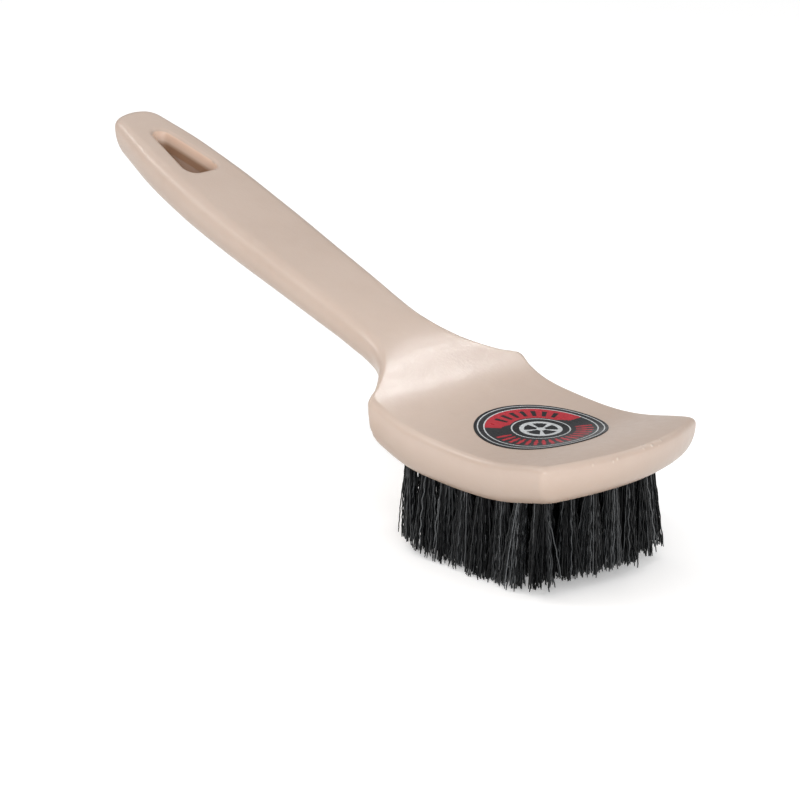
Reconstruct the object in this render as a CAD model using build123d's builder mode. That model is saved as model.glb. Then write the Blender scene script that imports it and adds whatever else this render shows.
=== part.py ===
from build123d import *
from math import cos, radians, sin
import os

# Short-handled wheel and tyre brush, staple-set construction.
#
# One moulded plastic block forms the curved head and the rising handle. Every
# tuft sits in its own blind hole on the underside, folded over a small steel
# anchor plate whose two ends bite into the wall of the hole.
#
# Frame: +X runs from the handle end to the head's tip, +Z is up, XZ is the
# plane of symmetry. Z = 0 is the plane that the lowest bristle tips touch, and
# the origin is the middle of the whole brush's footprint. Millimetres.

os.makedirs("parts", exist_ok=True)

# ---------------------------------------------------------------- dimensions
# Lengths along the brush are measured from the crease where the handle's ramp
# meets the head; heights are measured from the top face at that crease.
HANDLE_END = -186.6     # crown of the handle end
TIP_END = 94.1          # crown of the curved tip
TRIM = 32.0             # bristle length outside the block

# centre line of the top face
TOP_X = [-196, -184.5, -165, -145, -120, -95, -70, -50, -35, -22, -13, -7, 0, 8, 20, 40, 60, 78, 95, 104]
TOP_Z = [75.2, 71.25, 64.7, 57.6, 48.4, 39.5, 30.7, 23.6, 18.1, 13.1, 7.8, 3.7, 0, -2.6, -4.3, -5.6, -4.5, -0.9, 0.9, 1.4]

# half width of the block, seen from above
HALF_X = [-196, -184.5, -175, -160, -145, -130, -110, -80, -60, -48, -38, -28, -20, -14, -9, -5, 0, 8, 40, 70, 95, 104]
HALF_W = [8.8, 10.9, 13.0, 16.2, 18.0, 19.0, 19.2, 18.4, 17.8, 17.3, 17.35, 18.7, 22.3, 28.1, 35.0, 41.6, 40.6, 40.3, 40.3, 41.3, 42.2, 42.6]

# thickness, side inset of the underside, radius of the upper edge
SEC_X = [-196, -185, -150, -60, -25, 0, 40, 95, 104]
SEC_T = [14.0, 15.1, 16.5, 15.1, 14.3, 18.3, 17.5, 16.2, 16.2]
SEC_IN = [6.0, 6.8, 7.5, 10.2, 9.8, 6.4, 7.8, 10.9, 10.9]
SEC_R = [3.6, 3.8, 4.6, 4.6, 4.2, 3.2, 3.0, 3.0, 3.0]

STATIONS = [-196, -187, -178, -169, -160, -151, -142, -132, -121, -109, -97, -85, -74, -64, -55, -47,
            -40, -34, -28, -23, -19, -16, -13, -10.5, -8, -5.5, -3, 0, 4, 9, 16, 25, 36, 48, 60, 71, 82, 93, 104]

LOFT_SPLIT = -64       # station where the two lofts of the block meet

TIP_SAG, TIP_HALF = 11.0, 41.3      # the tip's arc: rise over its chord, half chord
TIP_IN = 10.5                       # inset of the tip wall at the underside
END_SAG, END_HALF = 2.0, 10.0       # the handle end's arc
END_IN = 4.9

# hang slot, narrow towards the handle end, drafted from both faces
SLOT_NARROW_X, SLOT_NARROW_R = -166.2, 3.7
SLOT_WIDE_X, SLOT_WIDE_R, SLOT_WIDE_Y = -145.0, 4.0, 3.4
SLOT_DRAFT = 5.0

# tufts: rows across the head, the first at the heel, bowing with the tip
ROWS = 8
ROW_FIRST, ROW_LAST = 4.8, 70.8     # at the outermost tufts
ROW_BOW = [0.0, 0.3, 0.8, 1.6, 2.8, 4.3, 6.1, 8.0]
COL_Y = [-28.8, -19.2, -9.6, 0.0, 9.6, 19.2, 28.8]
HOLE_R = 2.6
HOLE_DEPTH = 10.0
PLUG_R = 2.55
SPREAD_R = 4.3                      # radius of a tuft at its tips
LEAN_Y = 0.045                      # outward lean of the tips, per mm off centre
LEAN_X = [1.4, 0.9, 0.4, 0.0, 0.0, 0.0, 0.2, 0.4]

# anchor plates, one in each hole, pressed in across the brush
ANCHOR_L, ANCHOR_T, ANCHOR_H = 5.7, 0.45, 1.8
ANCHOR_LIFT = 0.7                   # filament bend between anchor and hole bottom

# round label bonded on the top face of the head
LABEL_X, LABEL_R, LABEL_T = 43.5, 24.9, 0.25

X0 = -(HANDLE_END + TIP_END) / 2    # crease to frame origin, along X


# ---------------------------------------------------------------- curves
def smooth(xs, ys, x):
    """Monotone cubic through the table."""
    n = len(xs)
    d = [(ys[i + 1] - ys[i]) / (xs[i + 1] - xs[i]) for i in range(n - 1)]
    m = [0.0] * n
    for i in range(1, n - 1):
        if d[i - 1] * d[i] > 0:
            h0, h1 = xs[i] - xs[i - 1], xs[i + 1] - xs[i]
            w0, w1 = 2 * h1 + h0, h1 + 2 * h0
            m[i] = (w0 + w1) / (w0 / d[i - 1] + w1 / d[i])
    m[0], m[-1] = d[0], d[-1]
    x = min(max(x, xs[0]), xs[-1])
    i = max(k for k in range(n - 1) if xs[k] <= x)
    h = xs[i + 1] - xs[i]
    t = (x - xs[i]) / h
    return ((1 + 2 * t) * (1 - t) ** 2 * ys[i] + t * (1 - t) ** 2 * h * m[i]
            + t * t * (3 - 2 * t) * ys[i + 1] + t * t * (t - 1) * h * m[i + 1])


def natural(xs, ys, x):
    """Natural cubic spline through the table."""
    n = len(xs)
    h = [xs[i + 1] - xs[i] for i in range(n - 1)]
    al = [0.0] + [3 * ((ys[i + 1] - ys[i]) / h[i] - (ys[i] - ys[i - 1]) / h[i - 1]) for i in range(1, n - 1)]
    lo, mu, z = [1.0] + [0.0] * (n - 1), [0.0] * n, [0.0] * n
    for i in range(1, n - 1):
        lo[i] = 2 * (xs[i + 1] - xs[i - 1]) - h[i - 1] * mu[i - 1]
        mu[i] = h[i] / lo[i]
        z[i] = (al[i] - h[i - 1] * z[i - 1]) / lo[i]
    c, b, dd = [0.0] * n, [0.0] * n, [0.0] * n
    for j in range(n - 2, -1, -1):
        c[j] = z[j] - mu[j] * c[j + 1]
        b[j] = (ys[j + 1] - ys[j]) / h[j] - h[j] * (c[j + 1] + 2 * c[j]) / 3
        dd[j] = (c[j + 1] - c[j]) / (3 * h[j])
    x = min(max(x, xs[0]), xs[-1])
    i = max(k for k in range(n - 1) if xs[k] <= x)
    t = x - xs[i]
    return ys[i] + b[i] * t + c[i] * t * t + dd[i] * t ** 3


def half_w(x):
    return smooth(HALF_X, HALF_W, x)


def thick(x):
    return smooth(SEC_X, SEC_T, x)


def rise(x):
    return natural(TOP_X, TOP_Z, x)


# tuft places, as (distance from crease, y), row by row
TUFTS = []
for r in range(ROWS):
    base = ROW_FIRST + (ROW_LAST - ROW_FIRST) * r / (ROWS - 1)
    TUFTS.append([(base + ROW_BOW[r] * (1 - (y / COL_Y[-1]) ** 2), y) for y in COL_Y])

# height of the crease over the plane of the lowest tips
Z0 = TRIM - min(rise(x) - thick(x) for row in TUFTS for x, y in row)


def top_z(x):
    return Z0 + rise(x)


def under_z(x):
    return top_z(x) - thick(x)


def wall_points(edge_r, t, inset):
    """A side wall as (inset, depth) pairs, upper edge to underside."""
    pts = [(edge_r * (1 - sin(radians(a))), edge_r * (1 - cos(radians(a)))) for a in (0, 22.5, 45, 67.5, 90)]
    p1 = (0.0, edge_r + (t - edge_r) * 0.55)
    p2 = (inset * 0.4, t)
    for k in range(1, 8):
        s = k / 7
        b0, b1, b2, b3 = (1 - s) ** 3, 3 * (1 - s) ** 2 * s, 3 * (1 - s) * s * s, s ** 3
        pts.append((b1 * p1[0] + b2 * p2[0] + b3 * inset,
                    b0 * edge_r + b1 * p1[1] + b2 * p2[1] + b3 * t))
    return pts


def end_cutter(x_end, inset, sign, arc_r):
    """Everything beyond a curved end wall, as a ring sector about the arc's axis."""
    zt, t = top_z(x_end), thick(x_end)
    centre = X0 + x_end - sign * arc_r
    face = [(X0 + x_end, zt + 4), (X0 + x_end, zt - 0.5)]
    face += [(X0 + x_end - sign * i, zt - d) for i, d in wall_points(0.5, t, inset)[6:]]
    far = X0 + x_end + sign * 25
    foot = (face[-1][0] - sign * 5, face[-1][1] - 1.75)
    with BuildPart() as cutter:
        with BuildSketch(Plane.XZ):
            with BuildLine():
                Polyline((far, zt - t - 25), (far, zt + 25), (X0 + x_end, zt + 25), face[0])
                Spline(*face, tangents=((0, -1), (-sign, -0.35)))
                Polyline(face[-1], foot, (foot[0], zt - t - 25), (far, zt - t - 25))
            make_face()
        revolve(axis=Axis((centre, 0, 0), (0, 0, 1)), revolution_arc=360)
        with BuildSketch(Plane.XY.offset(-50)):
            with Locations((centre + sign * (arc_r * 0.5 + 100), 0)):
                Rectangle(200, 160)
        extrude(amount=300, mode=Mode.INTERSECT)
    return cutter.part


TIP_ARC_R = (TIP_HALF ** 2 + TIP_SAG ** 2) / (2 * TIP_SAG)
END_ARC_R = (END_HALF ** 2 + END_SAG ** 2) / (2 * END_SAG)
tip_cut = end_cutter(TIP_END, TIP_IN, 1, TIP_ARC_R)
back_cut = end_cutter(HANDLE_END, END_IN, -1, END_ARC_R)

slot_mid = (SLOT_NARROW_X + SLOT_WIDE_X) / 2
slot_z = top_z(slot_mid) - thick(slot_mid) / 2

# ---------------------------------------------------------------- the block
with BuildPart() as handle_block:
    # cross sections from beyond the handle end to beyond the tip, in two
    # lofts that meet on the straight part of the handle
    for span in ([x for x in STATIONS if x <= LOFT_SPLIT], [x for x in STATIONS if x >= LOFT_SPLIT]):
        for x in span:
            w, zt = half_w(x), top_z(x)
            pts = [(w - i, zt - d) for i, d in
                   wall_points(smooth(SEC_X, SEC_R, x), thick(x), smooth(SEC_X, SEC_IN, x))]
            left = [(-y, z) for y, z in pts]
            with BuildSketch(Plane.YZ.offset(X0 + x)):
                with BuildLine():
                    Line(left[0], pts[0])
                    Spline(*pts, tangents=((1, 0), (-1, 0)))
                    Line(pts[-1], left[-1])
                    Spline(*left[::-1], tangents=((-1, 0), (1, 0)))
                make_face()
        loft()
    add(tip_cut, mode=Mode.SUBTRACT)
    add(back_cut, mode=Mode.SUBTRACT)

    # hang slot, opening out towards both faces
    with BuildSketch(Plane.XY.offset(slot_z)) as slot:
        with Locations((X0 + SLOT_NARROW_X, 0)):
            Circle(SLOT_NARROW_R)
        with Locations((X0 + SLOT_WIDE_X, SLOT_WIDE_Y), (X0 + SLOT_WIDE_X, -SLOT_WIDE_Y)):
            Circle(SLOT_WIDE_R)
        make_hull()
    extrude(amount=18, both=True, taper=-SLOT_DRAFT, mode=Mode.SUBTRACT)

    # one blind hole per tuft, with the bite slot of its anchor plate
    for row in TUFTS:
        for x, y in row:
            top = under_z(x) + HOLE_DEPTH
            with Locations((X0 + x, y, top)):
                Cylinder(HOLE_R, HOLE_DEPTH + 6, align=(Align.CENTER, Align.CENTER, Align.MAX), mode=Mode.SUBTRACT)
            with Locations((X0 + x, y, top - ANCHOR_LIFT + 0.02)):
                Box(ANCHOR_T + 0.04, ANCHOR_L + 0.04, ANCHOR_H + 0.04,
                    align=(Align.CENTER, Align.CENTER, Align.MAX), mode=Mode.SUBTRACT)

handle_block.part.label = "handle_block"
export_step(handle_block.part, "parts/handle_block.step")

# ---------------------------------------------------------------- the label
with BuildPart() as label_disc:
    # a thin band that follows the top face, cut to a disc
    xs = [LABEL_X + LABEL_R * 1.1 * (k / 6 - 1) for k in range(13)]
    with BuildSketch(Plane.XZ):
        with BuildLine():
            upper = [(X0 + x, top_z(x) + LABEL_T) for x in xs]
            lower = [(X0 + x, top_z(x) - 0.6) for x in xs]
            Spline(*upper)
            Line(upper[-1], lower[-1])
            Spline(*lower[::-1])
            Line(lower[0], upper[0])
        make_face()
    extrude(amount=LABEL_R * 1.1, both=True)
    with BuildSketch(Plane.XY):
        with Locations((X0 + LABEL_X, 0)):
            Circle(LABEL_R)
    extrude(amount=120, mode=Mode.INTERSECT)
    add(handle_block.part, mode=Mode.SUBTRACT)
label_disc.part.label = "label_disc"
export_step(label_disc.part, "parts/label_disc.step")

# ---------------------------------------------------------------- the tufts
for r, row in enumerate(TUFTS):
    with BuildPart() as tufts:
        for x, y in row:
            foot = min(under_z(x - HOLE_R), under_z(x + HOLE_R)) - 0.4
            tip = (x + LEAN_X[r], y * (1 + LEAN_Y))
            with BuildSketch(Plane.XY.offset(foot)):
                with Locations((X0 + x, y)):
                    Circle(PLUG_R)
            with BuildSketch(Plane.XY.offset(max(under_z(x) - TRIM, 0.0))):
                with Locations((X0 + tip[0], tip[1])):
                    Circle(SPREAD_R)
            loft()
            with Locations((X0 + x, y, foot)):
                Cylinder(PLUG_R, under_z(x) + HOLE_DEPTH - foot, align=(Align.CENTER, Align.CENTER, Align.MIN))
            with Locations((X0 + x, y, under_z(x) + HOLE_DEPTH - ANCHOR_LIFT)):
                Box(ANCHOR_T, ANCHOR_L, ANCHOR_H, align=(Align.CENTER, Align.CENTER, Align.MAX), mode=Mode.SUBTRACT)
    tufts.part.label = f"tufts_row_{r + 1:02d}"
    export_step(tufts.part, f"parts/tufts_row_{r + 1:02d}.step")

    with BuildPart() as anchors:
        for x, y in row:
            with Locations((X0 + x, y, under_z(x) + HOLE_DEPTH - ANCHOR_LIFT)):
                Box(ANCHOR_T, ANCHOR_L, ANCHOR_H, align=(Align.CENTER, Align.CENTER, Align.MAX))
    anchors.part.label = f"tuft_anchors_row_{r + 1:02d}"
    export_step(anchors.part, f"parts/tuft_anchors_row_{r + 1:02d}.step")
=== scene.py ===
import math
import random

import bmesh
import bpy
import numpy as np
from mathutils import Matrix, Vector


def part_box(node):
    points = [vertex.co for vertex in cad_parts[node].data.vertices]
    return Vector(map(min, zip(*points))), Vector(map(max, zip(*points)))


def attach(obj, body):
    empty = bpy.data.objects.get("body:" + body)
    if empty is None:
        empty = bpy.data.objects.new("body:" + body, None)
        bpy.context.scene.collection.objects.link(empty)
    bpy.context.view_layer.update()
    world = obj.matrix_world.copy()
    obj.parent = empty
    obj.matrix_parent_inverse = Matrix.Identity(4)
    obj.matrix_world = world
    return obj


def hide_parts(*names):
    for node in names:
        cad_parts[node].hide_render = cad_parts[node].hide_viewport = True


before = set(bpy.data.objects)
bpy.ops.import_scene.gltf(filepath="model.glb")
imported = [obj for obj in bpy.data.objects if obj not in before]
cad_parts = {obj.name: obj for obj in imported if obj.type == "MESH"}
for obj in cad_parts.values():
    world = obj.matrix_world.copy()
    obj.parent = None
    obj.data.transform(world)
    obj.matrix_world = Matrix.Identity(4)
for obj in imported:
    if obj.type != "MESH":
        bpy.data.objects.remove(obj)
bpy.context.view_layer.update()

# Short-handled wheel brush. Shapes are worked out in millimetres, with x from
# the crease between handle and head and z from the top face at that crease,
# and are moved into the row frame by place().

scene = bpy.context.scene

# ------------------------------------------------------------------ shape data
TOP_X = [-196, -184.5, -165, -145, -120, -95, -70, -50, -35, -22, -13, -7, 0, 8, 20, 40, 60, 78, 95, 104]
TOP_Z = [75.2, 71.25, 64.7, 57.6, 48.4, 39.5, 30.7, 23.6, 18.1, 13.1, 7.8, 3.7, 0, -2.6, -4.3, -5.6, -4.5, -0.9, 0.9, 1.4]
HALF_X = [-196, -184.5, -175, -160, -145, -130, -110, -80, -60, -48, -38, -28, -20, -14, -9, -5, 0, 8, 40, 70, 95, 104]
HALF_W = [8.8, 10.9, 13.0, 16.2, 18.0, 19.0, 19.2, 18.4, 17.8, 17.3, 17.35, 18.7, 22.3, 28.1, 35.0, 41.6, 40.6, 40.3, 40.3, 41.3, 42.2, 42.6]
SEC_X = [-196, -185, -150, -60, -25, 0, 40, 95, 104]
SEC_T = [14.0, 15.1, 16.5, 15.1, 14.3, 18.3, 17.5, 16.2, 16.2]
SEC_IN = [6.0, 6.8, 7.5, 10.2, 9.8, 6.4, 7.8, 10.9, 10.9]
RAD_X = [-196, -185, -150, -40, 0, 104]
RAD_R = [3.2, 3.8, 5.8, 5.8, 3.0, 2.6]
END_X, END_BOW, END_IN, END_CORNER = -184.6, 2.0, 4.9, 5.1
TIP_X, TIP_SAG, TIP_IN, TIP_CORNER = 83.1, 11.0, 10.5, 3.9
CREASE_BOW = 2.0

ROWS, ROW_FIRST, ROW_LAST = 8, 4.8, 70.8
ROW_BOW = [0.0, 0.3, 0.8, 1.6, 2.8, 4.3, 6.1, 8.0]
COL_Y = [-28.8, -19.2, -9.6, 0.0, 9.6, 19.2, 28.8]
LEAN_X = [1.4, 0.9, 0.4, 0.0, 0.0, 0.0, 0.2, 0.4]
LEAN_Y = 0.045
HOLE_R, HOLE_DEPTH, TRIM = 2.6, 10.0, 32.0

SLOT_A = (-166.2, 0.0, 3.5)
SLOT_B = (-145.0, 3.4, 3.9)
SLOT_C = (-145.0, -3.4, 3.9)
SLOT_DRAFT, SLOT_ROUND = math.tan(math.radians(4.5)), 1.8

LABEL_X, LABEL_R, LABEL_T = 43.5, 24.9, 0.25


def natural(xs, ys):
    """Natural cubic spline through the table, as a function of an array."""
    xs, ys = np.array(xs, float), np.array(ys, float)
    n = len(xs)
    h = np.diff(xs)
    a = np.zeros((n, n))
    rhs = np.zeros(n)
    a[0, 0] = a[-1, -1] = 1
    for i in range(1, n - 1):
        a[i, i - 1], a[i, i], a[i, i + 1] = h[i - 1], 2 * (h[i - 1] + h[i]), h[i]
        rhs[i] = 6 * ((ys[i + 1] - ys[i]) / h[i] - (ys[i] - ys[i - 1]) / h[i - 1])
    m = np.linalg.solve(a, rhs)

    def f(x):
        x = np.clip(np.asarray(x, float), xs[0], xs[-1])
        i = np.clip(np.searchsorted(xs, x, side="right") - 1, 0, n - 2)
        t, u, hh = x - xs[i], xs[i + 1] - x, h[i]
        return (m[i] * u ** 3 + m[i + 1] * t ** 3) / (6 * hh) + (ys[i] / hh - m[i] * hh / 6) * u + (ys[i + 1] / hh - m[i + 1] * hh / 6) * t

    return f


def smooth(xs, ys):
    """Monotone cubic through the table, as a function of an array."""
    xs, ys = np.array(xs, float), np.array(ys, float)
    n = len(xs)
    d = np.diff(ys) / np.diff(xs)
    m = np.zeros(n)
    for i in range(1, n - 1):
        if d[i - 1] * d[i] > 0:
            h0, h1 = xs[i] - xs[i - 1], xs[i + 1] - xs[i]
            w0, w1 = 2 * h1 + h0, h1 + 2 * h0
            m[i] = (w0 + w1) / (w0 / d[i - 1] + w1 / d[i])
    m[0], m[-1] = d[0], d[-1]

    def f(x):
        x = np.clip(np.asarray(x, float), xs[0], xs[-1])
        i = np.clip(np.searchsorted(xs, x, side="right") - 1, 0, n - 2)
        h = xs[i + 1] - xs[i]
        t = (x - xs[i]) / h
        return (1 + 2 * t) * (1 - t) ** 2 * ys[i] + t * (1 - t) ** 2 * h * m[i] + t * t * (3 - 2 * t) * ys[i + 1] + t * t * (t - 1) * h * m[i + 1]

    return f


rise, half_w, thick = natural(TOP_X, TOP_Z), smooth(HALF_X, HALF_W), smooth(SEC_X, SEC_T)
inset_of = smooth(SEC_X, SEC_IN)


def radius_of(x):
    return np.interp(x, RAD_X, RAD_R)


# the frame's own box gives the shift from the crease to the row frame
block_lo, block_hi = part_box("handle_block")
X0 = block_hi.x * 1000 - 94.1
Z0 = TRIM - min(float(rise(x) - thick(x)) for x in [ROW_FIRST + (ROW_LAST - ROW_FIRST) * r / (ROWS - 1) + ROW_BOW[r] * (1 - (y / COL_Y[-1]) ** 2) for r in range(ROWS) for y in COL_Y])


def place(p):
    """Millimetres from the crease to metres in the row frame."""
    p = np.asarray(p, float)
    return (p + np.array([X0, 0.0, Z0])) / 1000.0


def crown_of(x):
    """How far the middle of the top face stands above its edges."""
    return np.interp(x, [-196, -150, -60, -34, -20, 0], [0.4, 0.5, 0.6, 0.6, 0.1, 0.0])


def top(x, y):
    """Height of the top face."""
    x, y = np.asarray(x, float), np.asarray(y, float)
    near = np.exp(-((x / 26.0) ** 2))
    e = np.clip(np.abs(y) / half_w(x), 0, 1.2)
    return rise(x - near * CREASE_BOW * np.minimum((y / 37.0) ** 2, 1.2)) + crown_of(x) * (1 - e ** 2)


def under(x, y):
    return top(x, y) - thick(x)


# ------------------------------------------------------------------ small helpers
def mesh_object(name, verts, faces, mats=(), smooth_shade=True):
    me = bpy.data.meshes.new(name)
    me.from_pydata([tuple(v) for v in np.asarray(verts, float)], [], faces)
    me.update()
    ob = bpy.data.objects.new(name, me)
    scene.collection.objects.link(ob)
    for m in mats:
        me.materials.append(m)
    if smooth_shade:
        me.polygons.foreach_set("use_smooth", [True] * len(me.polygons))
    return ob


class Nodes:
    """Short way to write a node material."""

    def __init__(self, name):
        self.mat = bpy.data.materials.new(name)
        self.mat.use_nodes = True
        self.t = self.mat.node_tree
        self.t.nodes.clear()
        self.out = self.t.nodes.new("ShaderNodeOutputMaterial")
        self.bsdf = self.t.nodes.new("ShaderNodeBsdfPrincipled")
        self.link(self.bsdf.outputs[0], self.out.inputs[0])

    def link(self, a, b):
        self.t.links.new(a, b)

    def new(self, kind, **values):
        n = self.t.nodes.new(kind)
        for k, v in values.items():
            setattr(n, k, v)
        return n

    def put(self, node, socket, value):
        s = node.inputs[socket]
        if hasattr(value, "links"):
            self.link(value, s)
        else:
            s.default_value = value

    def noise(self, coord, scale, detail=2.0, rough=0.5, distortion=0.0):
        n = self.new("ShaderNodeTexNoise")
        self.put(n, "Vector", coord)
        self.put(n, "Scale", scale)
        self.put(n, "Detail", detail)
        self.put(n, "Roughness", rough)
        self.put(n, "Distortion", distortion)
        return n.outputs["Fac"]

    def ramp(self, fac, stops, interpolation="LINEAR"):
        n = self.new("ShaderNodeValToRGB")
        r = n.color_ramp
        r.interpolation = interpolation
        while len(r.elements) < len(stops):
            r.elements.new(0.5)
        for e, (p, c) in zip(r.elements, stops):
            e.position = p
            e.color = (c[0], c[1], c[2], 1) if hasattr(c, "__len__") else (c, c, c, 1)
        self.link(fac, n.inputs[0])
        return n.outputs[0]

    def math(self, op, a, b=0.0, clamp=False):
        n = self.new("ShaderNodeMath", operation=op, use_clamp=clamp)
        self.put(n, 0, a)
        self.put(n, 1, b)
        return n.outputs[0]

    def mix(self, fac, a, b, blend="MIX"):
        n = self.new("ShaderNodeMix", data_type="RGBA", blend_type=blend)
        self.put(n, 0, fac)
        self.put(n, 6, a)
        self.put(n, 7, b)
        return n.outputs[2]

    def bump(self, height, strength, distance, normal=None):
        n = self.new("ShaderNodeBump")
        self.put(n, "Strength", strength)
        self.put(n, "Distance", distance)
        self.put(n, "Height", height)
        if normal is not None:
            self.link(normal, n.inputs["Normal"])
        return n.outputs[0]


# ------------------------------------------------------------------ materials
def block_material():
    m = Nodes("moulded_beige")
    co = m.new("ShaderNodeTexCoord").outputs["Object"]
    cloud = m.noise(co, 26.0, 3.0, 0.55)
    speckle = m.noise(co, 900.0, 2.0, 0.6)
    flow = m.noise(co, 120.0, 4.0, 0.6, 0.4)
    base = m.ramp(cloud, [(0.30, (0.479, 0.373, 0.308)), (0.52, (0.500, 0.392, 0.325)), (0.75, (0.516, 0.410, 0.344))])
    base = m.mix(m.ramp(flow, [(0.35, 0.0), (0.75, 0.35)]), base, (0.529, 0.428, 0.364, 1))
    fleck = m.ramp(speckle, [(0.20, 1.0), (0.27, 0.0)])
    base = m.mix(m.math("MULTIPLY", fleck, 0.25), base, (0.367, 0.277, 0.215, 1))
    # small moulding nicks and dark specks
    wear = m.new("ShaderNodeAttribute", attribute_name="wear").outputs["Fac"]
    chips = m.new("ShaderNodeTexVoronoi", feature="F1")
    m.put(chips, "Vector", co)
    m.put(chips, "Scale", 420.0)
    dots = m.ramp(chips.outputs["Distance"], [(0.10, 1.0), (0.34, 0.0)])
    where = m.ramp(m.noise(co, 210.0, 1.0, 0.5), [(0.56, 0.0), (0.64, 1.0)])
    nick = m.math("MULTIPLY", m.math("MULTIPLY", dots, where), wear)
    base = m.mix(m.math("MULTIPLY", nick, 0.75), base, (0.78, 0.69, 0.60, 1))
    specks = m.new("ShaderNodeTexVoronoi", feature="F1")
    m.put(specks, "Vector", co)
    m.put(specks, "Scale", 62.0)
    dirt = m.math("MULTIPLY", m.ramp(specks.outputs["Distance"], [(0.022, 1.0), (0.045, 0.0)]), m.ramp(m.noise(co, 37.0, 0.0), [(0.55, 0.0), (0.60, 1.0)]))
    base = m.mix(m.math("MULTIPLY", dirt, 0.7), base, (0.30, 0.21, 0.15, 1))
    # painted shade: a darker, browner colour down inside the hang slot, where the wall lies in shade
    painted_slot_shade = m.new("ShaderNodeAttribute", attribute_name="painted_slot_shade").outputs["Fac"]
    # painted shade: the lower part of the side walls mixed towards a darker brown
    low = m.new("ShaderNodeAttribute", attribute_name="low").outputs["Fac"]
    base = m.mix(m.math("MULTIPLY", low, 0.8), base, (0.362, 0.270, 0.210, 1))
    # painted light: a lighter, warmer colour on the upper wall of the hang slot, where light falls
    lip = m.new("ShaderNodeAttribute", attribute_name="lip").outputs["Fac"]
    base = m.mix(m.math("MULTIPLY", lip, 0.8), base, (0.680, 0.490, 0.380, 1))
    base = m.mix(painted_slot_shade, base, (0.200, 0.100, 0.050, 1))
    m.link(base, m.bsdf.inputs["Base Color"])
    rough = m.ramp(m.noise(co, 310.0, 3.0, 0.6), [(0.3, 0.28), (0.7, 0.37)])
    m.link(rough, m.bsdf.inputs["Roughness"])
    m.bsdf.inputs["IOR"].default_value = 1.47
    m.bsdf.inputs["Subsurface Weight"].default_value = 0.06
    m.bsdf.inputs["Subsurface Radius"].default_value = (1.0, 0.55, 0.35)
    m.bsdf.inputs["Subsurface Scale"].default_value = 0.0015
    peel = m.bump(m.noise(co, 640.0, 3.0, 0.55), 0.16, 0.0004)
    wave = m.bump(m.noise(co, 70.0, 2.0, 0.5), 0.12, 0.0010, peel)
    raised = m.bump(nick, 0.55, 0.0005, wave)
    m.link(raised, m.bsdf.inputs["Normal"])
    return m.mat


def bristle_material():
    m = Nodes("black_filament")
    co = m.new("ShaderNodeTexCoord").outputs["Object"]
    shade = m.new("ShaderNodeAttribute", attribute_name="shade").outputs["Fac"]
    grain = m.noise(co, 700.0, 2.0, 0.6)
    mixed = m.math("ADD", m.math("MULTIPLY", shade, 0.75), m.math("MULTIPLY", grain, 0.25))
    m.link(m.ramp(mixed, [(0.10, (0.0012, 0.0014, 0.0016)), (0.42, (0.0045, 0.0052, 0.0060)), (0.85, (0.0450, 0.0500, 0.0550))]), m.bsdf.inputs["Base Color"])
    m.link(m.ramp(mixed, [(0.15, 0.36), (0.85, 0.24)]), m.bsdf.inputs["Roughness"])
    m.link(m.ramp(mixed, [(0.15, 0.08), (0.42, 0.30), (0.75, 1.0)]), m.bsdf.inputs["Specular IOR Level"])
    m.bsdf.inputs["IOR"].default_value = 1.53
    m.link(m.bump(m.noise(co, 2600.0, 1.0, 0.5), 0.15, 0.0001), m.bsdf.inputs["Normal"])
    return m.mat


def label_material():
    m = Nodes("printed_label")
    co = m.new("ShaderNodeTexCoord").outputs["Object"]
    ink = m.new("ShaderNodeAttribute", attribute_name="ink").outputs["Color"]
    blot = m.ramp(m.noise(co, 900.0, 3.0, 0.6), [(0.35, 0.82), (0.65, 1.0)])
    m.link(m.mix(1.0, ink, blot, "MULTIPLY"), m.bsdf.inputs["Base Color"])
    m.link(m.ramp(m.noise(co, 160.0, 3.0, 0.6), [(0.3, 0.24), (0.7, 0.36)]), m.bsdf.inputs["Roughness"])
    m.link(m.bump(m.noise(co, 260.0, 2.0, 0.5), 0.10, 0.0003), m.bsdf.inputs["Normal"])
    m.bsdf.inputs["Specular IOR Level"].default_value = 0.16
    return m.mat


def anchor_material():
    m = Nodes("drawn_steel")
    co = m.new("ShaderNodeTexCoord").outputs["Object"]
    scale = m.new("ShaderNodeMapping")
    m.put(scale, "Vector", co)
    scale.inputs["Scale"].default_value = (600.0, 60.0, 2600.0)
    streak = m.noise(scale.outputs[0], 1.0, 2.0, 0.6)
    m.link(m.ramp(streak, [(0.3, (0.46, 0.46, 0.47)), (0.7, (0.66, 0.66, 0.67))]), m.bsdf.inputs["Base Color"])
    m.link(m.ramp(streak, [(0.3, 0.30), (0.7, 0.45)]), m.bsdf.inputs["Roughness"])
    m.bsdf.inputs["Metallic"].default_value = 1.0
    return m.mat


def floor_material():
    m = Nodes("pale_floor")
    co = m.new("ShaderNodeTexCoord").outputs["Object"]
    m.link(m.ramp(m.noise(co, 3.0, 2.0), [(0.3, (0.90, 0.90, 0.90)), (0.7, (0.915, 0.915, 0.915))]), m.bsdf.inputs["Base Color"])
    m.bsdf.inputs["Roughness"].default_value = 0.9
    m.bsdf.inputs["Specular IOR Level"].default_value = 0.0
    m.bsdf.inputs["Emission Color"].default_value = (1.0, 1.0, 1.0, 1.0)
    m.bsdf.inputs["Emission Strength"].default_value = 0.26
    return m.mat


BLOCK, BRISTLE, LABEL, ANCHOR = block_material(), bristle_material(), label_material(), anchor_material()

# ------------------------------------------------------------------ the block
ROUND_STEPS = [math.radians(a) for a in (0, 9, 18, 27, 36, 45, 54, 63, 72, 81, 90)]
SIDE_STEPS = [k / 13 for k in range(1, 14)]
LEVELS = [("round", a) for a in ROUND_STEPS] + [("side", t) for t in SIDE_STEPS]


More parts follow.
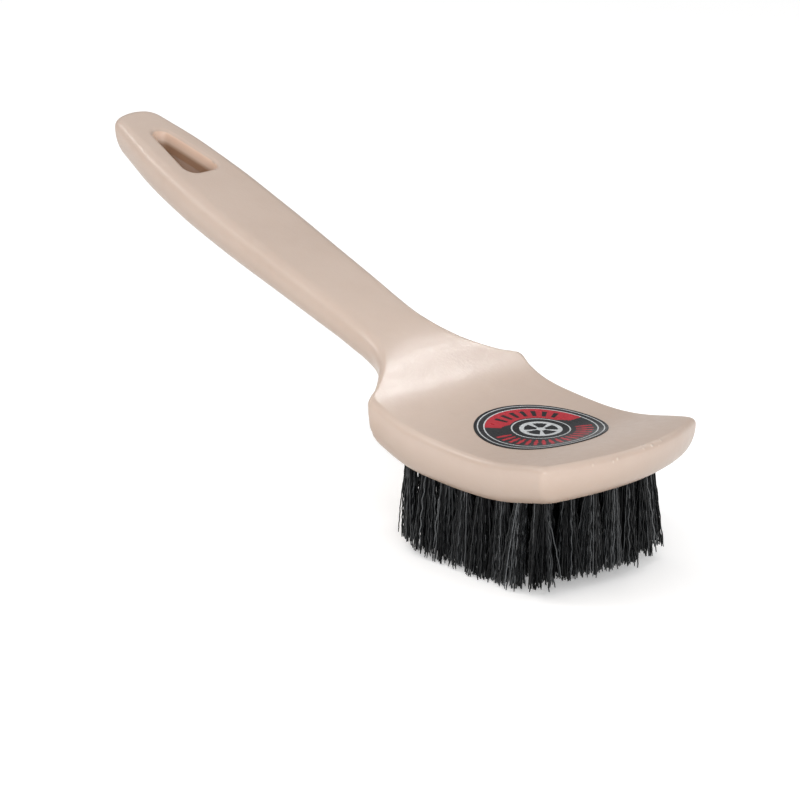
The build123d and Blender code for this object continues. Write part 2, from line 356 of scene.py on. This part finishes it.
def wall(level, r, t, i):
    """Inset and depth of the side wall at a level, from the upper edge to the underside."""
    kind, s = level
    if kind == "round":
        return r * (1 - math.sin(s)), r * (1 - math.cos(s))
    b0, b1, b2, b3 = (1 - s) ** 3, 3 * (1 - s) ** 2 * s, 3 * (1 - s) * s * s, s ** 3
    return b2 * i * 0.4 + b3 * i, b0 * r + b1 * (r + (t - r) * 0.55) + (b2 + b3) * t


def side_at(level, x):
    x = np.asarray(x, float)
    i, d = wall(level, radius_of(x), thick(x), inset_of(x))
    return half_w(x) - i, d


def half_contour(level, nx, ny, nc):
    """One half of the outline at a level, from the handle end's crown to the tip's crown."""
    tip_in = float(wall(level, float(radius_of(TIP_X)), float(thick(TIP_X)), TIP_IN)[0])
    end_in = float(wall(level, float(radius_of(END_X)), float(thick(END_X)), END_IN)[0])
    chord = float(half_w(TIP_X))

    def tip_x(y):
        return TIP_X + TIP_SAG * (1 - (y / chord) ** 2) - tip_in

    x = TIP_X
    for _ in range(8):
        y = float(side_at(level, x)[0])
        x = tip_x(y)
    xc, yc = x, y
    xe = END_X + end_in
    ye = float(side_at(level, xe)[0])
    tt = TIP_CORNER * 0.566 + tip_in * 0.25
    te = END_CORNER * 0.8

    def end_x(v):
        return xe - END_BOW * (1 - (v / max(ye, 1)) ** 2)

    parts = []
    v = np.linspace(0, ye - te, 8)
    parts.append(np.stack([end_x(v), v], 1))
    a, b, c = np.array([end_x(ye - te), ye - te]), np.array([xe + te, float(side_at(level, xe + te)[0])]), np.array([xe - 0.3, ye + 0.2])
    t = np.linspace(0, 1, nc)[1:-1][:, None]
    parts.append((1 - t) ** 2 * a + 2 * t * (1 - t) * c + t ** 2 * b)
    v = np.linspace(xe + te, xc - tt, nx)
    parts.append(np.stack([v, side_at(level, v)[0]], 1))
    a = np.array([xc - tt, float(side_at(level, xc - tt)[0])])
    y2 = yc - tt * 0.857
    b, c = np.array([tip_x(y2), y2]), np.array([xc, yc])
    parts.append((1 - t) ** 2 * a + 2 * t * (1 - t) * c + t ** 2 * b)
    v = np.linspace(y2, 0, ny)
    parts.append(np.stack([tip_x(v), v], 1))
    h = np.vstack(parts)
    d = wall(level, radius_of(h[:, 0]), thick(h[:, 0]), inset_of(h[:, 0]))[1]
    return np.column_stack([h, top(h[:, 0], h[:, 1]) - d])


def hull_radius(circles, offset, cx, angles):
    """Distance from (cx, 0) to the hull of the circles, grown by offset, along each angle."""
    a = np.linspace(0, 2 * math.pi, 361)[:-1]
    pts = np.vstack([np.stack([x + (r + offset) * np.cos(a), y + (r + offset) * np.sin(a)], 1) for x, y, r in circles])
    out = []
    for th in angles:
        # the hull's support along every direction bounds the ray
        d = np.array([math.cos(th), math.sin(th)])
        best = 1e9
        n = np.stack([np.cos(a), np.sin(a)], 1)
        sup = np.max(np.stack([x * n[:, 0] + y * n[:, 1] + r + offset for x, y, r in circles]), 0) - cx * n[:, 0]
        k = n @ d
        ok = k > 1e-3
        best = np.min(sup[ok] / k[ok])
        out.append(best)
    return np.array(out)


def build_block():
    nx, ny, nc, cols, rings = 236, 64, 14, 24, 9
    rows = [half_contour(l, nx, ny, nc) for l in LEVELS]
    h = len(rows[0])
    n = 2 * h - 2
    verts, faces = [], []
    for r in rows:
        verts += list(r) + list((r * [1, -1, 1])[::-1][1:-1])
    s = len(rows)

    def idx(level, j):
        return level * n + j % n

    for i in range(s - 1):
        for j in range(n):
            faces.append((idx(i, j), idx(i, j + 1), idx(i + 1, j + 1), idx(i + 1, j)))

    def add(x, y, z):
        verts.append((x, y, z))
        return len(verts) - 1

    ja = int(np.argmin(np.abs(rows[0][:h // 2, 0] + 177.5)))
    jb = int(np.argmin(np.abs(rows[0][:h // 2, 0] + 133.0)))
    cx = -155.5
    circles = (SLOT_A, SLOT_B, SLOT_C)
    loops, firsts = [], []
    angles = None
    for level, surf in ((0, top), (s - 1, under)):
        g = rows[level]
        grid = {}
        for j in range(1, h - 1):
            if ja < j < jb:
                continue
            x, y0 = g[j][0], g[j][1]
            line = [idx(level, j)]
            for k in range(1, cols + 1):
                y = y0 * (1 - 2 * k / (cols + 1))
                line.append(add(x, y, float(surf(x, y))))
            grid[j] = line + [idx(level, n - j)]
        for j in range(1, h - 2):
            if ja <= j < jb:
                continue
            for k in range(cols + 1):
                faces.append((grid[j][k], grid[j][k + 1], grid[j + 1][k + 1], grid[j + 1][k]))
        for k in range(cols + 1):
            faces.append((idx(level, 0), grid[1][k + 1], grid[1][k]))
            faces.append((idx(level, h - 1), grid[h - 2][k], grid[h - 2][k + 1]))
        loop = [idx(level, j) for j in range(ja, jb + 1)] + grid[jb][1:-1]
        loop += [idx(level, n - j) for j in range(jb, ja - 1, -1)] + grid[ja][1:-1][::-1]
        if angles is None:
            angles = [math.atan2(verts[v][1], verts[v][0] - cx) for v in loop]
        loops.append(loop)
    count = len(angles)
    ca, sa = np.cos(angles), np.sin(angles)

    def slot_ring(offset, depth_of):
        r = hull_radius(circles, offset, cx, angles)
        x, y = cx + r * ca, r * sa
        z = depth_of(x, y)
        return [add(float(a), float(b), float(c)) for a, b, c in zip(x, y, z)]

    mid = 8.1  # half of the thickness here, where the two moulding drafts meet
    fillet = [math.radians(a) for a in (4, 20, 36, 52, 68, 84)]
    seq = []
    for a in fillet:
        seq.append((SLOT_ROUND * (1 - math.sin(a)), SLOT_ROUND * (1 - math.cos(a)), 0))
    for d in (2.4, 4.2, 6.0, 7.6):
        seq.append((0.0, d, 0))
    down = [(o + SLOT_DRAFT * (mid - d), d) for o, d, _ in seq]
    rings_v = [slot_ring(o, lambda x, y, d=d: top(x, y) - d) for o, d in down]
    rings_v.append(slot_ring(-0.10, lambda x, y: top(x, y) - thick(x) * 0.5 + 0.08))
    rings_v.append(slot_ring(-0.10, lambda x, y: top(x, y) - thick(x) * 0.5 - 0.08))
    rings_v += [slot_ring(o, lambda x, y, d=d: under(x, y) + d) for o, d in down[::-1]]
    for a, b in zip(rings_v, rings_v[1:]):
        for i in range(count):
            k = (i + 1) % count
            faces.append((a[i], a[k], b[k], b[i]))
    for loop, inner, surf, lift in ((loops[0], rings_v[0], top, 0), (loops[1], rings_v[-1], under, 0)):
        prev = loop
        for r in range(1, rings):
            t = (r / rings) ** 0.85
            line = []
            for i in range(count):
                x = verts[loop[i]][0] * (1 - t) + verts[inner[i]][0] * t
                y = verts[loop[i]][1] * (1 - t) + verts[inner[i]][1] * t
                line.append(add(x, y, float(surf(x, y))))
            for i in range(count):
                k = (i + 1) % count
                faces.append((prev[i], prev[k], line[k], line[i]))
            prev = line
        for i in range(count):
            k = (i + 1) % count
            faces.append((prev[i], prev[k], inner[k], inner[i]))
    ob = mesh_object("brush_block", place(verts), faces, [BLOCK])
    bm = bmesh.new()
    bm.from_mesh(ob.data)
    bmesh.ops.recalc_face_normals(bm, faces=bm.faces)
    bm.to_mesh(ob.data)
    bm.free()
    return ob


def tuft_places():
    out = []
    for r in range(ROWS):
        base = ROW_FIRST + (ROW_LAST - ROW_FIRST) * r / (ROWS - 1)
        out.append([(base + ROW_BOW[r] * (1 - (y / COL_Y[-1]) ** 2), y) for y in COL_Y])
    return out


TUFTS = tuft_places()


def drill(ob):
    """A blind hole for every tuft."""
    verts, faces = [], []
    seg = 28
    for row in TUFTS:
        for x, y in row:
            u = float(rise(x) - thick(x))
            levels = [(u - 7, HOLE_R), (u + HOLE_DEPTH - 0.9, HOLE_R), (u + HOLE_DEPTH, HOLE_R * 0.35)]
            first = len(verts)
            for z, r in levels:
                for k in range(seg):
                    a = 2 * math.pi * k / seg
                    verts.append((x + r * math.cos(a), y + r * math.sin(a), z))
            for l in range(len(levels) - 1):
                for k in range(seg):
                    m = (k + 1) % seg
                    faces.append((first + l * seg + k, first + l * seg + m, first + (l + 1) * seg + m, first + (l + 1) * seg + k))
            faces.append(tuple(first + k for k in range(seg))[::-1])
            faces.append(tuple(first + (len(levels) - 1) * seg + k for k in range(seg)))
    cutter = mesh_object("cutter", place(verts), faces, [BLOCK])
    mod = ob.modifiers.new("holes", "BOOLEAN")
    mod.operation = "DIFFERENCE"
    mod.object = cutter
    mod.solver = "EXACT"
    dg = bpy.context.evaluated_depsgraph_get()
    cut = bpy.data.meshes.new_from_object(ob.evaluated_get(dg), preserve_all_data_layers=True, depsgraph=dg)
    ob.modifiers.clear()
    old = ob.data
    ob.data = cut
    cut.name = "brush_block"
    bpy.data.meshes.remove(old)
    bpy.data.objects.remove(cutter)
    return ob


block = drill(build_block())
me = block.data
me.polygons.foreach_set("use_smooth", [True] * len(me.polygons))
me.set_sharp_from_angle(angle=math.radians(48))
# where the tip's upper edge carries moulding nicks
co = np.zeros(len(me.vertices) * 3)
me.vertices.foreach_get("co", co)
co = co.reshape(-1, 3) * 1000 - [X0, 0, Z0]
tip_line = TIP_X + TIP_SAG * (1 - (co[:, 1] / float(half_w(TIP_X))) ** 2)
from_edge = np.hypot(co[:, 0] - tip_line + 1.0, co[:, 2] - top(co[:, 0], co[:, 1]) + 1.2)
wear = np.clip(1.25 - from_edge / 2.6, 0, 1) * np.clip(1.3 - np.abs(co[:, 1] + 4) / 30, 0, 1)
me.attributes.new("wear", "FLOAT", "POINT").data.foreach_set("value", wear.astype(np.float32))
# the inside of the hang slot
gap_x, gap_y = co[:, 0] + 155.0, co[:, 1]
depth = top(co[:, 0], co[:, 1]) - co[:, 2]
inside = (np.abs(gap_x) < 16.0) & (np.abs(gap_y) < 7.9) & (depth > 0.7)
# painted shade: the slot wall darkens with depth below the top face
painted_slot_shade = inside * np.clip((depth - 4.0) / 2.0, 0, 1) * 0.85
# painted light: the slot wall near the top face is marked to be lightened
lip = inside * np.clip((5.0 - depth) / 1.5, 0, 1)
me.attributes.new("lip", "FLOAT", "POINT").data.foreach_set("value", lip.astype(np.float32))
me.attributes.new("painted_slot_shade", "FLOAT", "POINT").data.foreach_set("value", painted_slot_shade.astype(np.float32))
# painted shade: the side walls grow darker towards their lower part and the underside
low = np.clip((depth / thick(co[:, 0]) - 0.25) / 0.60, 0, 1)
me.attributes.new("low", "FLOAT", "POINT").data.foreach_set("value", low.astype(np.float32))
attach(block, "root")
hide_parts("handle_block")

# ------------------------------------------------------------------ the label
BLACK, GREY, RED, DARK = (0.011, 0.012, 0.014, 1), (0.55, 0.57, 0.58, 1), (0.43, 0.022, 0.035, 1), (0.020, 0.021, 0.024, 1)


def ink_at(r, a):
    """Colour of the print at radius r and angle a in degrees, 0 towards the tip."""
    if r > 23.65:
        return BLACK
    if r > 23.2:
        return GREY
    if r > 21.3:
        return DARK
    if r > 20.8:
        return GREY
    if r > 11.1:
        off = (a - 157 + 180) % 360 - 180
        if abs(off) < 70:
            inner = 11.8 + 3.2 * max(0, abs(off) - 52) / 18
            tick = any(abs(off - c) < 2.6 for c in (-42, -28, -14, 0, 14, 28, 42)) and 13.6 < r < 18.6
            return (BLACK if tick else RED) if r > inner else DARK
        off2 = (a - 337 + 180) % 360 - 180
        if abs(off2) < 86 and 13.0 < r < 19.4:
            near = min(abs(off2 - c) for c in range(-80, 81, 10))
            if near < 1.8 or (near < 3.2 and 15.2 < r < 16.8):
                return RED
        return DARK
    if r > 10.6:
        return GREY
    if 6.3 < r < 8.0 or r < 1.7:
        return GREY
    if r <= 6.3:
        near = min(abs((a - 30 - c + 180) % 360 - 180) for c in range(0, 360, 72))
        if near < 9:
            return GREY
    return BLACK


def build_label():
    radii = [0.9, 1.7, 3.2, 4.8, 6.3, 7.2, 8.0, 9.3, 10.6, 11.1, 11.8, 12.4, 13.0, 13.6, 14.4, 15.2, 16.0, 16.8, 17.7, 18.6, 19.4,
             20.1, 20.8, 21.3, 22.2, 23.2, 23.65, 24.3, 24.72]
    seg = 360
    verts, faces, inks = [], [], []

    def ring(r, dz):
        first = len(verts)
        a = np.arange(seg) * 2 * math.pi / seg
        x, y = LABEL_X + r * np.cos(a), r * np.sin(a)
        z = top(x, y) + dz
        verts.extend(zip(x, y, z))
        return first

    centre = len(verts)
    verts.append((LABEL_X, 0.0, float(top(LABEL_X, 0)) + LABEL_T))
    rings = [ring(r, LABEL_T) for r in radii]
    for k in range(seg):
        faces.append((centre, rings[0] + k, rings[0] + (k + 1) % seg))
        inks.append(ink_at(0.4, k + 0.5))
    edges = [0.0] + radii
    for i, (a, b) in enumerate(zip(rings, rings[1:])):
        for k in range(seg):
            m = (k + 1) % seg
            faces.append((a + k, b + k, b + m, a + m))
            inks.append(ink_at((radii[i] + radii[i + 1]) / 2, k + 0.5))
    lip = [rings[-1], ring(LABEL_R - 0.02, LABEL_T - 0.06), ring(LABEL_R, LABEL_T - 0.16), ring(LABEL_R, 0.01)]
    for a, b in zip(lip, lip[1:]):
        for k in range(seg):
            m = (k + 1) % seg
            faces.append((a + k, b + k, b + m, a + m))
            inks.append(BLACK)
    low = [lip[-1]] + [ring(r, 0.01) for r in (20.0, 13.0, 6.0)]
    for a, b in zip(low, low[1:]):
        for k in range(seg):
            m = (k + 1) % seg
            faces.append((a + k, b + k, b + m, a + m))
            inks.append(BLACK)
    mid = len(verts)
    verts.append((LABEL_X, 0.0, float(top(LABEL_X, 0)) + 0.01))
    for k in range(seg):
        faces.append((low[-1] + k, mid, low[-1] + (k + 1) % seg))
        inks.append(BLACK)
    ob = mesh_object("round_label", place(verts), faces, [LABEL])
    layer = ob.data.color_attributes.new("ink", "FLOAT_COLOR", "CORNER")
    colours = np.repeat(np.array(inks, np.float32), [len(f) for f in faces], axis=0)
    layer.data.foreach_set("color", colours.ravel())
    bm = bmesh.new()
    bm.from_mesh(ob.data)
    bmesh.ops.recalc_face_normals(bm, faces=bm.faces)
    bm.to_mesh(ob.data)
    bm.free()
    ob.data.set_sharp_from_angle(angle=math.radians(60))
    return ob


label = build_label()
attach(label, "root")
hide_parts("label_disc")

# ------------------------------------------------------------------ the bristles
PER_TUFT, STEPS, SIDES = 78, 22, 5
FILAMENT_R = 0.265
SPREAD = [4.1, 4.6, 4.8, 4.9, 4.9, 4.9, 4.6, 4.3]
FAN = [0.62, 0.74, 0.86, 0.90, 0.90, 0.90, 0.88, 0.84]
HEEL_LIFT = [1.4, 0.8, 0.3, 0.0, 0.0, 0.0, 0.0, 0.2]


def build_row(r, row):
    rng = np.random.default_rng(7100 + r)
    verts, faces, shades = [], [], []
    ring = np.arange(SIDES) * 2 * math.pi / SIDES
    for c, (x, y) in enumerate(row):
        u = float(rise(x) - thick(x))
        tip_mid = np.array([x + LEAN_X[r], y * (1 + LEAN_Y)])
        tuft_twist = rng.normal(0, 0.7, 2)
        tuft_phase = rng.uniform(0, 2 * math.pi)
        tuft_len = rng.normal(0, 0.35)
        tuft_shade = rng.uniform(-0.12, 0.12)
        # filaments lean together in a few locks
        locks = [(rng.uniform(0, 2 * math.pi), rng.normal(0, 0.9, 2), rng.normal(0, 0.45)) for _ in range(5)]
        for f in range(PER_TUFT):
            rr = math.sqrt((f + 0.5) / PER_TUFT)
            th = f * 2.399963 + rng.normal(0, 0.2)
            lock = min(locks, key=lambda l: abs((th - l[0] + math.pi) % (2 * math.pi) - math.pi))
            start = np.array([x, y]) + (HOLE_R - FILAMENT_R - 0.03) * rr * np.array([math.cos(th), math.sin(th)])
            spread = SPREAD[r] * rr * (1 + rng.normal(0, 0.12))
            end = tip_mid + tuft_twist + lock[1] * rr + spread * np.array([math.cos(th), math.sin(th)]) + rng.normal(0, 0.65, 2)
            if rng.random() < 0.13:
                end = end + rng.normal(0, 2.9, 2)
            edge = 35.6 + 1.2 * rng.random()
            end[1] = min(max(end[1], -edge), edge)
            z_hi = u + 6.5
            mouth = u - 0.2
            lift = abs(rng.normal(0, 1.0)) + lock[2] + (rng.random() < 0.06) * rng.uniform(0.5, 2.5)
            z_lo = max(u - TRIM + HEEL_LIFT[r] + tuft_len + lift - 0.7, -Z0 + 0.14)
            t = np.concatenate([[0.0, 0.06, 0.12], 0.12 + 0.88 * np.linspace(0, 1, STEPS - 1)[1:]])
            z = z_hi + (z_lo - z_hi) * t
            out = np.clip((mouth - z) / (mouth - z_lo), 0, 1)
            fan = out ** FAN[r]
            pos = start[None, :] + (end - start)[None, :] * fan[:, None]
            wave = rng.uniform(6.0, 9.0)
            amp = rng.uniform(0.14, 0.42)
            phase = tuft_phase + rng.normal(0, 1.0)
            d1 = rng.uniform(0, 2 * math.pi)
            arc = 2 * math.pi * (z_hi - z) / wave + phase
            grow = np.clip(out * 5, 0, 1)
            pos[:, 0] += grow * amp * (np.sin(arc) * math.cos(d1) - 0.35 * np.sin(2.3 * arc) * math.sin(d1))
            pos[:, 1] += grow * amp * (np.sin(arc) * math.sin(d1) + 0.35 * np.sin(2.3 * arc) * math.cos(d1))
            bend = rng.normal(0, 0.5, 2)
            pos += (np.sin(out * math.pi) * 0.5)[:, None] * bend[None, :]
            line = np.column_stack([pos, z])
            tan = np.gradient(line, axis=0)
            tan /= np.linalg.norm(tan, axis=1)[:, None]
            side = np.cross(tan, [0.0, 1.0, 0.0])
            side /= np.linalg.norm(side, axis=1)[:, None]
            other = np.cross(tan, side)
            rad = FILAMENT_R * rng.uniform(0.85, 1.12) * np.ones(len(t))
            rad[-1] *= 0.72
            turn = rng.uniform(0, 2 * math.pi)
            a = ring + turn
            tube = line[:, None, :] + rad[:, None, None] * (np.cos(a)[None, :, None] * side[:, None, :] + np.sin(a)[None, :, None] * other[:, None, :])
            first = len(verts)
            verts.extend(tube.reshape(-1, 3))
            k = len(t)
            for i in range(k - 1):
                for j in range(SIDES):
                    m = (j + 1) % SIDES
                    faces.append((first + i * SIDES + j, first + i * SIDES + m, first + (i + 1) * SIDES + m, first + (i + 1) * SIDES + j))
            faces.append(tuple(first + j for j in range(SIDES))[::-1])
            faces.append(tuple(first + (k - 1) * SIDES + j for j in range(SIDES)))
            shades += [min(max(rng.beta(1.6, 3.2) + tuft_shade, 0), 1)] * (k * SIDES)
    ob = mesh_object(f"bristle_row_{r + 1:02d}", place(verts), faces, [BRISTLE])
    ob.data.attributes.new("shade", "FLOAT", "POINT").data.foreach_set("value", np.array(shades, np.float32))
    bm = bmesh.new()
    bm.from_mesh(ob.data)
    bmesh.ops.recalc_face_normals(bm, faces=bm.faces)
    bm.to_mesh(ob.data)
    bm.free()
    ob.data.set_sharp_from_angle(angle=math.radians(75))
    return ob


for r, row in enumerate(TUFTS):
    ob = build_row(r, row)
    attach(ob, "root")
    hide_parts(f"tufts_row_{r + 1:02d}")

# ------------------------------------------------------------------ anchors keep their CAD shape
for name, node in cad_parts.items():
    if name.startswith("tuft_anchors"):
        node.data.materials.clear()
        node.data.materials.append(ANCHOR)

# ------------------------------------------------------------------ floor, light, camera
floor = mesh_object("floor", [(-6, -6, 0), (6, -6, 0), (6, 6, 0), (-6, 6, 0)], [(0, 1, 2, 3)], [floor_material()], False)

world = bpy.data.worlds.new("studio")
scene.world = world
world.use_nodes = True
wt = world.node_tree
sky = wt.nodes["Background"]
sky.inputs[1].default_value = 1.0
direction = wt.nodes.new("ShaderNodeTexCoord")
split = wt.nodes.new("ShaderNodeSeparateXYZ")
shade = wt.nodes.new("ShaderNodeValToRGB")
wt.links.new(direction.outputs["Generated"], split.inputs[0])
wt.links.new(split.outputs[2], shade.inputs[0])
wt.links.new(shade.outputs[0], sky.inputs[0])
levels = ((0.0, 0.75), (0.13, 0.75), (0.23, 0.12), (0.35, 0.12), (0.62, 0.88))
while len(shade.color_ramp.elements) < len(levels):
    shade.color_ramp.elements.new(0.5)
for e, (p, v) in zip(shade.color_ramp.elements, levels):
    e.position, e.color = p, (v, v, v, 1)


def area(name, at, aim, size, power, colour=(1, 1, 1)):
    l = bpy.data.lights.new(name, "AREA")
    l.shape = "RECTANGLE"
    l.size, l.size_y = size
    l.energy = power
    l.color = colour
    ob = bpy.data.objects.new(name, l)
    scene.collection.objects.link(ob)
    ob.location = at
    ob.rotation_euler = (Vector(aim) - Vector(at)).to_track_quat("-Z", "Y").to_euler()
    return ob


MID, RAMP, GRIP, HEAD = (0.03, 0.0, 0.06), (0.034, -0.020, 0.059), (-0.02, -0.02, 0.08), (0.09, -0.04, 0.055)


def toward(name, direction, distance, size, power, aim=MID, colour=(1, 1, 1)):
    return area(name, Vector(direction).normalized() * distance + Vector(aim), aim, size, power, colour)


toward("ramp_spot", (0.0, 0.70, 0.71), 0.5, (0.07, 0.06), 0.0031, RAMP, (0.94, 0.98, 1.0)).data.spread = math.radians(13)
toward("head_fill", (-0.45, 0.10, 0.88), 0.9, (0.4, 0.4), 0.013, (0.098, -0.005, 0.05)).data.spread = math.radians(20)
toward("back_strip", (-0.02, 0.71, 0.70), 0.80, (0.16, 0.08), 0.25, RAMP)
toward("edge_grip", (-0.27, -0.53, 0.80), 1.0, (0.60, 0.09), 0.8, GRIP, (1.0, 0.93, 0.85))
toward("edge_head", (-0.68, -0.32, 0.66), 1.0, (0.30, 0.05), 1.2, HEAD)
toward("soft_right", (0.95, -0.30, 0.25), 1.1, (0.45, 0.45), 1.3)
toward("soft_front", (0.75, -0.62, 0.25), 1.1, (0.45, 0.45), 4.3)
toward("soft_high", (0.5, -0.6, 0.65), 1.1, (0.5, 0.5), 1.3)
toward("soft_left", (-0.75, -0.45, 0.48), 1.2, (0.6, 0.6), 0.35)

scene.view_settings.view_transform = "Standard"

F_PX, DIST = 3711.0, 1.395488
az, el, roll = math.radians(44.1918), math.radians(18.6632), math.radians(0.9513)
back = Vector((math.sin(az) * math.cos(el), -math.cos(az) * math.cos(el), math.sin(el)))
right = Vector((math.cos(az), math.sin(az), 0.0))
up = back.cross(right)
right, up = right * math.cos(roll) + up * math.sin(roll), up * math.cos(roll) - right * math.sin(roll)
crease = Vector((X0, 0.0, Z0)) / 1000.0
eye = crease + back * DIST
look = (-back - right * (56.98 / F_PX) - up * (12.59 / F_PX)).normalized()
right = (right - look * right.dot(look)).normalized()
up = right.cross(look)
cam_data = bpy.data.cameras.new("camera")
cam_data.sensor_width = 36.0
cam_data.lens = F_PX * 36.0 / 800.0
cam_data.clip_start, cam_data.clip_end = 0.05, 50.0
cam = bpy.data.objects.new("camera", cam_data)
scene.collection.objects.link(cam)
cam.matrix_world = Matrix(((right.x, up.x, -look.x, eye.x), (right.y, up.y, -look.y, eye.y), (right.z, up.z, -look.z, eye.z), (0, 0, 0, 1)))
scene.camera = cam
